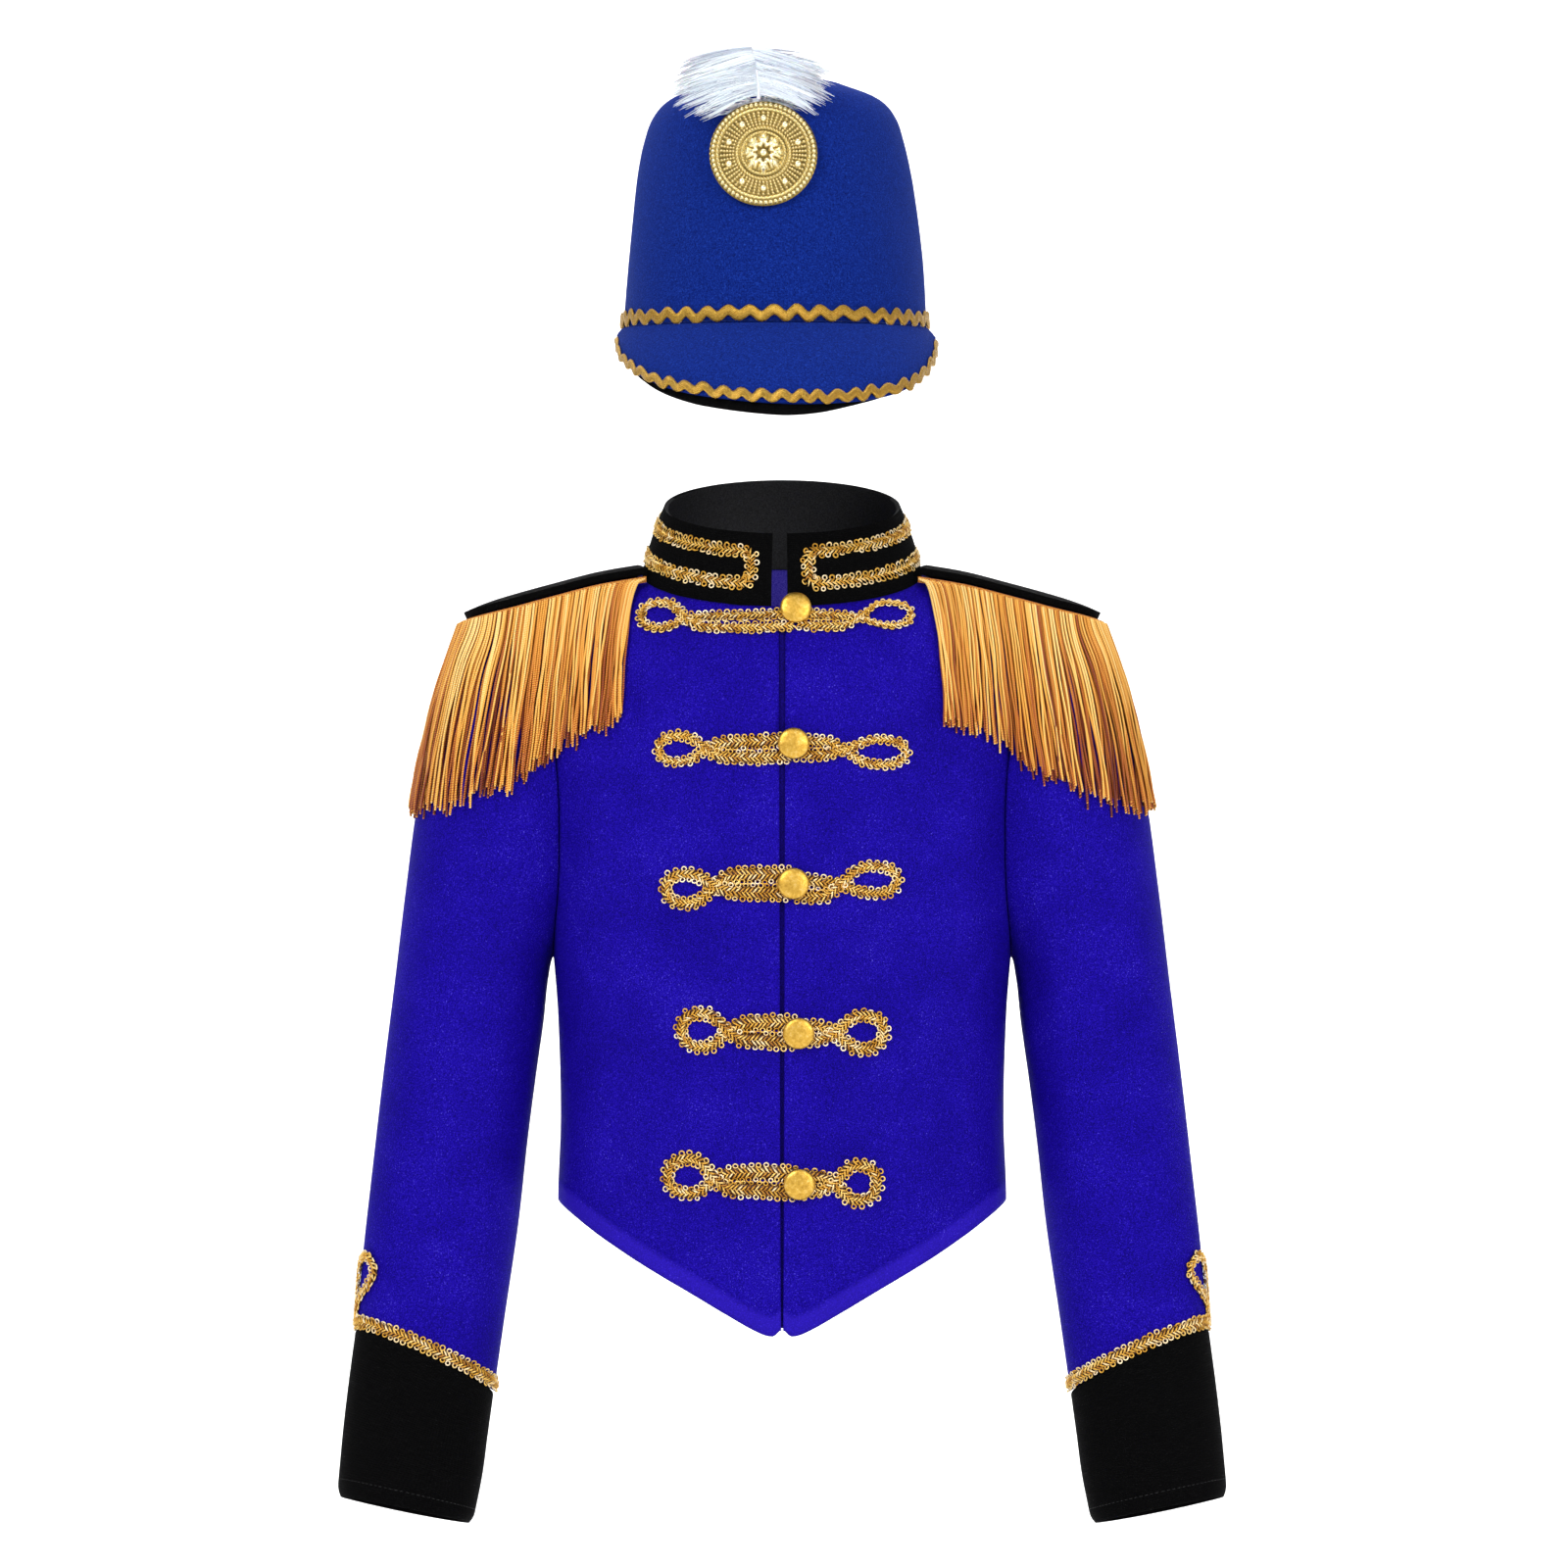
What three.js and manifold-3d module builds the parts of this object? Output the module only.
// Child's marching band uniform: a short jacket with a stand collar, corded closures, fringed
// epaulettes and pointed cuffs, and the hat of the set above it.
// Millimetres, +Z up, the front faces -Y. The origin is the middle of the neck, at the shoulders.
import * as THREE from "three";
import Module from "manifold-3d";

const wasm = await Module();
wasm.setup();

// Driving sizes
const CLOTH = 2;
const SEAM = 0.3;
const ARM_STEPS = 10;
const NECK_STEPS = 6;
const SHOULDER_STEPS = 6;
const SIDE_STEPS = 6;
const BODY_POWER = 2.3;
const ROOF_POWER = 2.2;
const ROOF_START = -110;
const NECK_HALF = 77;
const NECK_SIDE_Z = 7.6;
const NECK_FRONT_DROP = 19.6;
const NECK_BACK_RISE = 5.4;
const SHOULDER_X = 150;
const SHOULDER_Z = -8.8;
const UNDERARM_Z = -203;
const SIDE_HEM_Z = -336;
const HEM_BAND = 11;
const HEM_RAISE = 0.9;
const HEM_SPREAD = 1.45;

// Half of the gap between the front edges, by height.
const OPENING = [
  { z: -402, half: 0.5 },
  { z: -330, half: 0.9 },
  { z: -160, half: 1.3 },
  { z: -12, half: 1.8 },
];
const PLACKET_HALF = 6;
const PLACKET_CLEAR = 0.4;
const PLACKET_THICK = 1.2;
const PLACKET_FIRST_ROW = 2;

// Half width and the depths in front of and behind the side seams, by height.
const BODY = [
  { z: -420, half: 122, front: 79, back: 78 },
  { z: -336, half: 123.4, front: 80, back: 79 },
  { z: -292, half: 122, front: 82, back: 80 },
  { z: -237, half: 123.4, front: 84, back: 82 },
  { z: -203, half: 126, front: 85, back: 84 },
  { z: -160, half: 130.5, front: 84, back: 86 },
  { z: -110, half: 136, front: 80, back: 86 },
  { z: -60, half: 146, front: 80, back: 86 },
  { z: 0, half: 162, front: 80, back: 86 },
  { z: 60, half: 170, front: 80, back: 86 },
];
// The armhole seam seen from the front: how far out it lies at each height.
const ARMHOLE = [
  { z: -203, x: 126 },
  { z: -195, x: 125.2 },
  { z: -185, x: 124 },
  { z: -165, x: 121.8 },
  { z: -140, x: 121 },
  { z: -110, x: 121.5 },
  { z: -80, x: 124.5 },
  { z: -60, x: 128 },
  { z: -40, x: 133 },
  { z: -25, x: 139 },
  { z: -8.8, x: 150 },
];
// The pointed front hem, from the centre edge to the side seam.
const HEM = [
  { x: 0.9, z: -401.5 },
  { x: 4.5, z: -404.5 },
  { x: 12.8, z: -402.3 },
  { x: 31.4, z: -392 },
  { x: 49.1, z: -381.7 },
  { x: 67, z: -371.7 },
  { x: 84.1, z: -361.8 },
  { x: 99.6, z: -352 },
  { x: 112.8, z: -343 },
  { x: 123.4, z: -336 },
];
// The shoulder line from the neck to the sleeve head.
const SHOULDER = [
  { x: 0, z: 24 },
  { x: 40, z: 18 },
  { x: 77, z: 7.6 },
  { x: 100, z: 4 },
  { x: 122, z: -1.4 },
  { x: 150, z: -8.8 },
  { x: 175, z: -18 },
];
// Soft troughs and ridges of the fronts: middle, reach along x and z, how far they stand out.
const FOLDS = [
  { x: -58, z: -192, wide: 17, tall: 20, out: -2.2 },
  { x: 56, z: -196, wide: 20, tall: 22, out: -2.4 },
  { x: -30, z: -205, wide: 16, tall: 26, out: 1.4 },
  { x: 32, z: -208, wide: 17, tall: 26, out: 1.5 },
  { x: -66, z: -272, wide: 18, tall: 16, out: -1.8 },
  { x: 68, z: -276, wide: 20, tall: 18, out: -2.2 },
  { x: 58, z: -354, wide: 22, tall: 16, out: -2 },
  { x: -62, z: -350, wide: 20, tall: 14, out: -1.6 },
  { x: -96, z: -60, wide: 18, tall: 34, out: -1.4 },
  { x: 96, z: -64, wide: 18, tall: 34, out: -1.4 },
  { x: -104, z: -150, wide: 12, tall: 44, out: 1.5 },
  { x: 106, z: -154, wide: 12, tall: 44, out: 1.5 },
  { x: -88, z: -300, wide: 10, tall: 70, out: -1.2 },
  { x: 92, z: -296, wide: 11, tall: 70, out: -1.2 },
];
// The same of the back.
const BACK_FOLDS = [
  { x: 0, z: -120, wide: 14, tall: 90, out: -1.6 },
  { x: -52, z: -230, wide: 15, tall: 80, out: 1.6 },
  { x: 50, z: -240, wide: 16, tall: 80, out: 1.5 },
  { x: -94, z: -170, wide: 13, tall: 50, out: -1.8 },
  { x: 94, z: -165, wide: 13, tall: 50, out: -1.8 },
  { x: 0, z: -300, wide: 20, tall: 50, out: -1.4 },
];

// Sleeve rings from the armhole down. outX, outZ: point on the outer side; inX, inZ: under the arm;
// deep: half depth; mid: middle of the depth; bow: how far the front and back curve to the body;
// tip: how much higher the front of the ring lies than its middle, as the arm hangs a little forward.
const SLEEVE = [
  { outX: 150.3, outZ: -8.8, inX: 126.4, inZ: -203, deep: 46, mid: 1, bow: 17, tip: 0 },
  { outX: 163, outZ: -13, inX: 127, inZ: -204.2, deep: 51, mid: 0, bow: 10, tip: 0 },
  { outX: 174, outZ: -21, inX: 127.4, inZ: -206, deep: 54, mid: 0, bow: 5, tip: 0 },
  { outX: 182, outZ: -40, inX: 127.9, inZ: -208.5, deep: 55, mid: 0, bow: 2, tip: 0 },
  { outX: 189.5, outZ: -65, inX: 128.5, inZ: -212.5, deep: 54, mid: 0, bow: 0, tip: 0 },
  { outX: 200.3, outZ: -115, inX: 129.7, inZ: -221, deep: 51.5, mid: 0, bow: 0, tip: 0 },
  { outX: 207.4, outZ: -167, inX: 131.6, inZ: -240, deep: 48, mid: -0.5, bow: 0, tip: 0 },
  { outX: 213.2, outZ: -216, inX: 135.5, inZ: -268, deep: 44, mid: -1.5, bow: 0, tip: 0.4 },
  { outX: 219.2, outZ: -265, inX: 140.2, inZ: -305, deep: 40.5, mid: -3, bow: 0, tip: 1 },
  { outX: 225.4, outZ: -320, inX: 145.1, inZ: -350, deep: 37, mid: -5, bow: 0, tip: 1.7 },
  { outX: 230.3, outZ: -365, inX: 151.8, inZ: -396, deep: 34, mid: -7, bow: 0, tip: 2.5 },
  { outX: 233.8, outZ: -407, inX: 158.2, inZ: -441, deep: 32, mid: -9, bow: 0, tip: 3.2 },
];
const CUFF = [
  { outX: 234.2, outZ: -407.6, inX: 158.4, inZ: -441.6, deep: 32.2, mid: -9, bow: 0, tip: 3.2 },
  { outX: 238, outZ: -436, inX: 161.6, inZ: -465, deep: 32, mid: -10, bow: 0, tip: 4 },
  { outX: 241.2, outZ: -464, inX: 164.6, inZ: -487.5, deep: 31.6, mid: -11, bow: 0, tip: 4.8 },
  { outX: 244.4, outZ: -499.5, inX: 169.8, inZ: -513.6, deep: 31, mid: -12, bow: 0, tip: 5.6 },
];
const SLEEVE_COLS = 2 * ARM_STEPS;
const SLEEVE_POWER = 2.1;
// Soft lengthwise folds of the sleeve: angle round it, ring they are deepest at, reach, height.
const SLEEVE_FOLDS = [
  { turn: 4.1, ring: 7.4, wide: 0.22, long: 2.6, out: 1.5 },
  { turn: 4.75, ring: 8.2, wide: 0.2, long: 2.4, out: -1.5 },
  { turn: 5.4, ring: 7.6, wide: 0.24, long: 2.8, out: 1.4 },
  { turn: 2.2, ring: 7.2, wide: 0.24, long: 2.4, out: 1.4 },
  { turn: 1.3, ring: 8, wide: 0.26, long: 2.6, out: -1.4 },
];

// The loop over the cuff, from its foot up: ring and turn of its middle, half its width and half
// the eye in radians round the sleeve.
const CUFF_LOOP = [
  { ring: 10.69, turn: -0.1, half: 0.12, eye: 0.04, open: false },
  { ring: 10.57, turn: -0.18, half: 0.16, eye: 0.04, open: false },
  { ring: 10.44, turn: -0.28, half: 0.24, eye: 0.03, open: true },
  { ring: 10.27, turn: -0.39, half: 0.34, eye: 0.1, open: true },
  { ring: 10.1, turn: -0.46, half: 0.36, eye: 0.1, open: false },
  { ring: 9.97, turn: -0.5, half: 0.27, eye: 0.06, open: false },
  { ring: 9.9, turn: -0.52, half: 0.13, eye: 0.03, open: false },
];

// Collar
const COLLAR_THICK = 2.6;
const COLLAR_TOP_HALF = 65;
const COLLAR_TOP_FRONT = 50;
const COLLAR_TOP_BACK = 53;
const COLLAR_TOP_Z = 44.7;
const COLLAR_TILT = 17.3;
const COLLAR_LEFT_EDGE = -6.1;
const COLLAR_RIGHT_EDGE = 3;
const BRAID = 1.8;
const LIFT = 0.35;

// Corded closures. Each half: end: outermost x of the loop; neck: where the loop closes; midZ and
// high: middle and half height of the loop; holeOut, holeIn, holeZ, holeHigh: the eye; bandZ and
// bandHigh: the double band beside the button.
const CLOSURES = [
  { name: "frog_1_left", end: -80, neck: -50, midZ: -16, high: 9.5, holeOut: -75, holeIn: -57,
    holeZ: -15.6, holeHigh: 4.2, bandZ: -20.6, bandHigh: 6.9, buttonX: 7.1, buttonZ: -14.6 },
  { name: "frog_1_right", end: 72.7, neck: 40, midZ: -14.8, high: 8.4, holeOut: 69, holeIn: 51.5,
    holeZ: -14.6, holeHigh: 3.2, bandZ: -20, bandHigh: 6.3, buttonX: 7.1, buttonZ: -14.6 },
  { name: "frog_2_left", end: -70.2, neck: -38.5, midZ: -89.1, high: 10.5, holeOut: -63, holeIn: -45,
    holeZ: -87.8, holeHigh: 3.6, bandZ: -89.6, bandHigh: 8.7, buttonX: 6, buttonZ: -86.5 },
  { name: "frog_2_right", end: 70.2, neck: 31.5, midZ: -90.9, high: 10.2, holeOut: 63, holeIn: 44,
    holeZ: -90.9, holeHigh: 3.7, bandZ: -88.8, bandHigh: 7.6, buttonX: 6, buttonZ: -86.5 },
  { name: "frog_3_left", end: -66.9, neck: -34, midZ: -164.2, high: 12.1, holeOut: -59, holeIn: -41,
    holeZ: -163.4, holeHigh: 3.6, bandZ: -161.4, bandHigh: 10, buttonX: 6, buttonZ: -161.5 },
  { name: "frog_3_right", end: 65.9, neck: 29, midZ: -159.4, high: 11, holeOut: 58.5, holeIn: 39,
    holeZ: -160, holeHigh: 3.7, bandZ: -164.4, bandHigh: 8.6, buttonX: 6, buttonZ: -161.5 },
  { name: "frog_4_left", end: -58.5, neck: -26.6, midZ: -240, high: 13.4, holeOut: -50.7, holeIn: -33.3,
    holeZ: -240.5, holeHigh: 5, bandZ: -240.6, bandHigh: 10, buttonX: 8.7, buttonZ: -241.3 },
  { name: "frog_4_right", end: 59, neck: 26.5, midZ: -241.1, high: 13.4, holeOut: 50.7, holeIn: 33.3,
    holeZ: -240.5, holeHigh: 5, bandZ: -241.5, bandHigh: 8, buttonX: 8.7, buttonZ: -241.3 },
  { name: "frog_5_left", end: -65.9, neck: -33.5, midZ: -318.6, high: 13.7, holeOut: -58, holeIn: -41.5,
    holeZ: -318.6, holeHigh: 3.9, bandZ: -321, bandHigh: 10, buttonX: 9.2, buttonZ: -322.3 },
  { name: "frog_5_right", end: 55.4, neck: 26, midZ: -322, high: 13.9, holeOut: 47, holeIn: 31.3,
    holeZ: -322, holeHigh: 5, bandZ: -322.4, bandHigh: 8.4, buttonX: 9.2, buttonZ: -322.3 },
];
const NECK_SQUEEZE = 0.72;
const FROG_THICK = 2.2;
const FROG_LIFT = 0.6;
const BUTTON_SEAT = 0.3;
const BUTTON_PROFILE = [
  { r: 7.6, h: 0 },
  { r: 8.5, h: 1.2 },
  { r: 8.3, h: 2.6 },
  { r: 5.2, h: 3.9 },
];
const BUTTON_SIDES = 14;

// Epaulettes
const BOARD_THICK = 4;
const BOARD_START = 79.4;
const BOARD_CORNER = 74;
const BOARD_END = 175.5;
const BOARD_HALF = 32;
const BOARD_ARCH = 3.4;
const BOARD_CLEAR = 0.35;
const BOARD_LINE = [
  { x: 74, z: 9.2 },
  { x: 100, z: 4.8 },
  { x: 122, z: -0.8 },
  { x: 150, z: -8.5 },
  { x: 165, z: -13.5 },
  { x: 178, z: -19.2 },
];
const FRINGE_STRANDS = 41;
const STRAND_RADIUS = 1.5;
const STRAND_CLEAR = 2.1;
const STRIP_TALL = 4.5;
const STRIP_THICK = 3.4;
const STRAND_STEPS = [0, 0.09, 0.42, 1];
// By the neck the strands fan out at once and then hang straight: how bent, and over which reach.
const FAN_BEND = 0.34;
const FAN_REACH = 45;
// Where the ends of the fringe lie, by the place of their root along the shoulder.
const FRINGE_ENDS = [
  { root: 74, x: 88, z: -76 },
  { root: 84, x: 94, z: -78 },
  { root: 100, x: 108, z: -80 },
  { root: 125, x: 136, z: -102 },
  { root: 150, x: 165, z: -118 },
  { root: 178, x: 203, z: -124 },
];

// Hat
const HAT_X = -4;
const FELT = 1.8;
const HAT_BOTTOM = 143.3;
const HAT_TILT = 3.8;
const BAND_UP = 4.8;
const HAT_COLS = 30;
const HAT = [
  { z: 143.3, half: 83.6, deep: 95.2 },
  { z: 176, half: 81.4, deep: 92.6 },
  { z: 208, half: 77.9, deep: 88.8 },
  { z: 228, half: 75.2, deep: 86 },
  { z: 246, half: 71.4, deep: 82 },
  { z: 259, half: 66.6, deep: 76.6 },
  { z: 268, half: 57.8, deep: 66.4 },
  { z: 276, half: 38, deep: 43 },
];
const HAT_TOP = 281;
// The visor's edge: angle from the front, negative to the left; how far to the side, height and
// reach forward of the crown's middle. Its right half hangs a little lower.
const VISOR_EDGE = [
  { turn: -90, x: -87.4, y: 4, z: 140.5 },
  { turn: -70, x: -82.5, y: 50, z: 121.5 },
  { turn: -50, x: -66.5, y: 94, z: 107 },
  { turn: -30, x: -41, y: 124, z: 98 },
  { turn: 0, x: 4, y: 142, z: 92.6 },
  { turn: 30, x: 46, y: 124, z: 95 },
  { turn: 50, x: 71, y: 94, z: 103 },
  { turn: 70, x: 85, y: 50, z: 118.5 },
  { turn: 90, x: 88.8, y: 4, z: 139.5 },
];
const VISOR_COLS = 24;
const VISOR_ROWS = 3;
const VISOR_DIP = 4.5;
const RIM_OUT = 5;
const UNDER_THICK = 2.2;
const RICKRACK_HALF = 2.4;
const RICKRACK_WAVE = 1.9;
const RICKRACK_THICK = 1.4;
const BAND_WAVES = 42;
const EDGE_WAVES = 25;

// Badge
const BADGE_X = -10;
const BADGE_Z = 229;
const BADGE_RADIUS = 29;
const BADGE_SECTORS = 40;
const BADGE_BOSSES = 10;
const BADGE_LOBES = 8;
const BADGE_RINGS = [
  { r: 6.5, h: 4.6, boss: 0, lobe: 0.8 },
  { r: 11, h: 3, boss: 0, lobe: 1.2 },
  { r: 13.5, h: 4.4, boss: 0, lobe: 0 },
  { r: 21, h: 3.4, boss: 1.6, lobe: 0 },
  { r: 25.6, h: 3, boss: 0.5, lobe: 0 },
  { r: 27.6, h: 4.4, boss: 0, lobe: 0 },
  { r: 29, h: 2.4, boss: 0, lobe: 0 },
];

// Feather: the quill's line, where the locks end on each side from the root to the tip.
const QUILL = [
  { x: -12.6, y: -85, z: 258.6 },
  { x: -12.8, y: -85.6, z: 266 },
  { x: -13.8, y: -85.2, z: 275 },
  { x: -15.4, y: -82.6, z: 283 },
  { x: -16.6, y: -80.6, z: 287.4 },
];
const LOCK_ENDS = [
  { at: 0, leftX: -41, leftZ: 250, rightX: 3, rightZ: 258.5 },
  { at: 0.25, leftX: -50, leftZ: 256, rightX: 15, rightZ: 257.5 },
  { at: 0.5, leftX: -55, leftZ: 264, rightX: 20, rightZ: 263 },
  { at: 0.75, leftX: -58, leftZ: 273, rightX: 24, rightZ: 271 },
  { at: 1, leftX: -55, leftZ: 283, rightX: 23, rightZ: 280 },
];
const LOCKS_A_SIDE = 13;
const LOCK_RADIUS = 0.8;

const COLOURS = {
  blue: 0x2a12b4,
  velvet: 0x0c0c0f,
  gold: 0xcfa455,
  button: 0xb8923a,
  fringe: 0xe0963c,
  felt: 0x14389a,
  rickrack: 0xc08a22,
  badge: 0xc9b477,
  feather: 0xf2f2f4,
};

// Hermite reading of one column of a table, by the value of its key.
function read(table, key, column, at) {
  const last = table.length - 1;
  let i = 0;
  while (i < last - 1 && at > table[i + 1][key]) {
    i += 1;
  }
  const slope = (n) => {
    const a = table[Math.max(0, n - 1)];
    const b = table[Math.min(last, n + 1)];
    return (b[column] - a[column]) / (b[key] - a[key]);
  };
  const a = table[i];
  const b = table[i + 1];
  const span = b[key] - a[key];
  const t = Math.min(1, Math.max(0, (at - a[key]) / span));
  const t2 = t * t;
  const t3 = t2 * t;
  return (2 * t3 - 3 * t2 + 1) * a[column] + (t3 - 2 * t2 + t) * span * slope(i)
    + (3 * t2 - 2 * t3) * b[column] + (t3 - t2) * span * slope(i + 1);
}

// An even pseudo-random number from 0 to 1 for a whole number.
function scatter(n) {
  const s = Math.sin(n * 12.9898 + 4.1) * 43758.5453;
  return s - Math.floor(s);
}

function lerp(a, b, t) {
  return a + (b - a) * t;
}

function foldHeight(folds, x, z) {
  let out = 0;
  for (const f of folds) {
    const u = (x - f.x) / f.wide;
    const v = (z - f.z) / f.tall;
    out += f.out * Math.exp(-u * u - v * v);
  }
  return out;
}

// Height of the neck seam over its own turn: 0 in front, half a turn at the back.
function neckSeam(turn) {
  const lean = Math.cos(turn);
  const z = NECK_SIDE_Z - (lean > 0 ? NECK_FRONT_DROP : NECK_BACK_RISE) * lean;
  const x = NECK_HALF * Math.sin(turn);
  return { x, z };
}

// How deep the body is at a place seen from the front; side is -1 in front and 1 behind.
function bodyDepth(x, z, side) {
  const across = Math.abs(x);
  const half = read(BODY, "z", "half", z);
  const depth = read(BODY, "z", side < 0 ? "front" : "back", z);
  const round = Math.pow(Math.max(0, 1 - Math.pow(across / half, BODY_POWER)), 1 / BODY_POWER);
  let ridge = read(SHOULDER, "x", "z", across);
  if (side > 0 && across < NECK_HALF) {
    ridge = NECK_SIDE_Z + 38 * (1 - Math.pow(across / NECK_HALF, 2));
  }
  let roof = 1;
  if (z > ROOF_START) {
    const t = Math.min(1, (z - ROOF_START) / (ridge - ROOF_START));
    roof = Math.pow(Math.max(0, 1 - Math.pow(t, ROOF_POWER)), 1 / ROOF_POWER);
  }
  return depth * round * roof;
}

// A point of the body's outer face, moved out by raise; the folds fade towards the seams.
function bodyPoint(x, z, side, raise = 0) {
  const deep = bodyDepth(x, z, side);
  const fade = Math.min(1, deep / 40);
  const fold = foldHeight(side < 0 ? FOLDS : BACK_FOLDS, x, z) * fade;
  return new THREE.Vector3(x, side * (deep + fold + raise), z);
}

// A point at a distance along the body's own outward direction.
function overBody(x, z, side, raise) {
  const step = 0.5;
  const p = bodyPoint(x, z, side);
  const px = bodyPoint(x + step, z, side).sub(bodyPoint(x - step, z, side));
  const pz = bodyPoint(x, z + step, side).sub(bodyPoint(x, z - step, side));
  const n = pz.cross(px).normalize();
  if (n.y * side < 0) {
    n.negate();
  }
  return p.addScaledVector(n, raise);
}

// Closes a triangle list into a mesh; a list that faces in is turned round.
function meshFrom(name, points, faces, colour, rough, metal) {
  let volume = 0;
  for (const [a, b, c] of faces) {
    volume += points[a].dot(points[b].clone().cross(points[c]));
  }
  const index = volume < 0 ? faces.map(([a, b, c]) => [a, c, b]) : faces;
  const geometry = new THREE.BufferGeometry();
  geometry.setAttribute("position", new THREE.Float32BufferAttribute(points.flatMap((p) => p.toArray()), 3));
  geometry.setIndex(index.flat());
  geometry.computeVertexNormals();
  const material = new THREE.MeshStandardMaterial({ color: colour, roughness: rough, metalness: metal });
  const mesh = new THREE.Mesh(geometry, material);
  mesh.name = name;
  return mesh;
}

// The directions square to a grid of points, rows by columns.
function gridNormals(grid, closed, fix) {
  const rows = grid.length;
  const cols = grid[0].length;
  return grid.map((row, r) => row.map((p, c) => {
    const up = grid[Math.min(rows - 1, r + 1)][c].clone().sub(grid[Math.max(0, r - 1)][c]);
    const before = closed ? (c + cols - 1) % cols : Math.max(0, c - 1);
    const after = closed ? (c + 1) % cols : Math.min(cols - 1, c + 1);
    const along = grid[r][after].clone().sub(grid[r][before]);
    const n = along.cross(up).normalize();
    if (fix) {
      fix(n, r, c);
      n.normalize();
    }
    return n;
  }));
}

// A wall of cloth on a grid of outer points: thick is measured inwards, rise moves both faces out.
// fill says which cells are cloth, so that a band can leave its middle open.
function clothWall(name, grid, options) {
  const { thick, colour, rough = 0.8, metal = 0, closed = false, inward = 1, rise = 0 } = options;
  const rows = grid.length;
  const cols = grid[0].length;
  const across = closed ? cols : cols - 1;
  const fill = options.fill || (() => true);
  const normals = gridNormals(grid, closed, options.fix);
  const points = [];
  for (const depth of [rise, rise - thick]) {
    grid.forEach((row, r) => row.forEach((p, c) => {
      points.push(p.clone().addScaledVector(normals[r][c], depth * inward));
    }));
  }
  const at = (layer, r, c) => layer * rows * cols + r * cols + (c % cols);
  const used = (r, c) => {
    if (r < 0 || r >= rows - 1 || (!closed && (c < 0 || c >= across))) {
      return false;
    }
    return fill(r, (c + across) % across);
  };
  const faces = [];
  const quad = (a, b, c, d) => {
    faces.push([a, b, c], [a, c, d]);
  };
  for (let r = 0; r < rows - 1; r += 1) {
    for (let c = 0; c < across; c += 1) {
      if (!used(r, c)) {
        continue;
      }
      quad(at(0, r, c), at(0, r, c + 1), at(0, r + 1, c + 1), at(0, r + 1, c));
      quad(at(1, r, c), at(1, r + 1, c), at(1, r + 1, c + 1), at(1, r, c + 1));
      if (!used(r - 1, c)) {
        quad(at(0, r, c), at(1, r, c), at(1, r, c + 1), at(0, r, c + 1));
      }
      if (!used(r + 1, c)) {
        quad(at(0, r + 1, c), at(0, r + 1, c + 1), at(1, r + 1, c + 1), at(1, r + 1, c));
      }
      if (!used(r, c - 1)) {
        quad(at(0, r, c), at(0, r + 1, c), at(1, r + 1, c), at(1, r, c));
      }
      if (!used(r, c + 1)) {
        quad(at(0, r, c + 1), at(1, r, c + 1), at(1, r + 1, c + 1), at(0, r + 1, c + 1));
      }
    }
  }
  const keep = new Map();
  const kept = [];
  const index = faces.map((face) => face.map((i) => {
    if (!keep.has(i)) {
      keep.set(i, kept.length);
      kept.push(points[i]);
    }
    return keep.get(i);
  }));
  return meshFrom(name, kept, index, colour, rough, metal);
}

// A strip of braid with an eye in it. Each station gives its middle, its half height and half the
// eye there; open says that the eye shows up to the next station.
function eyeStrip(name, stations, place, options) {
  const rows = [-1, -0.3, 0.3, 1];
  const grid = rows.map((row, r) => stations.map((s) => {
    const middle = r === 1 || r === 2 ? s.eyeMiddle : s.middle;
    const reach = r === 1 || r === 2 ? Math.sign(row) * s.eye : row * s.high;
    return place(s.along, middle + reach);
  }));
  return clothWall(name, grid, { ...options, fill: (r, c) => r !== 1 || !stations[c].open });
}

// Armhole heights shared by the body's edge and the first ring of the sleeve, shoulder first.
function armholeHeights() {
  const middle = (SHOULDER_Z + UNDERARM_Z) / 2;
  const half = (SHOULDER_Z - UNDERARM_Z) / 2;
  const heights = [];
  for (let i = 0; i <= ARM_STEPS; i += 1) {
    heights.push(middle + half * Math.cos((Math.PI * i) / ARM_STEPS));
  }
  return heights;
}

function armholePoint(z, side) {
  const x = read(ARMHOLE, "z", "x", z);
  return new THREE.Vector3(x, side * bodyDepth(x, z, side), z);
}

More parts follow.
